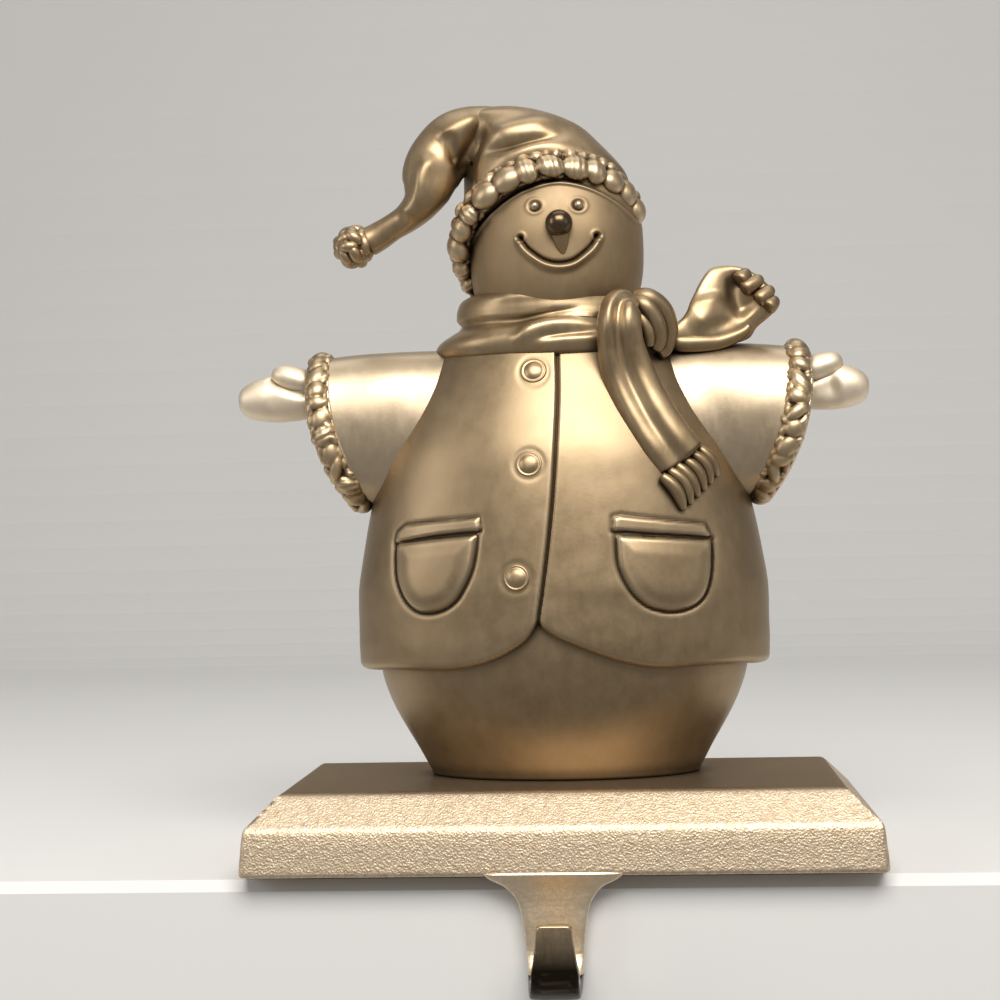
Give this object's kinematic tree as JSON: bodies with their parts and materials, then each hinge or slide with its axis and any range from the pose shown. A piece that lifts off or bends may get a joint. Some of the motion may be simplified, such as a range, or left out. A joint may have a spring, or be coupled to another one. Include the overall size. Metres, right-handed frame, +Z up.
{
  "type": "mantel stocking holder",
  "caption": "Cast metal stocking holder: a snowman in a coat, stocking cap and scarf on a bevelled base block whose hook hangs over the front edge of a mantel.",
  "frame": {"origin": "middle of the felt pad's underside, where the holder rests on the mantel", "axes": "+Z up from the mantel, -Y towards the front, where the hook hangs, +X to the right seen from the front"},
  "size_m": [0.1272, 0.0759, 0.1713],
  "materials": {
    "figure_metal": "brushed antique bronze, darker in its recesses",
    "base_metal": "rough sand-cast, bronzed",
    "screw_metal": "zinc plated",
    "felt": "felt"
  },
  "bodies": {
    "root": {"base_with_hook": "base_metal", "snowman_figure": "figure_metal", "fixing_screws": "screw_metal", "felt_pad": "felt"}
  },
  "joints": []
}
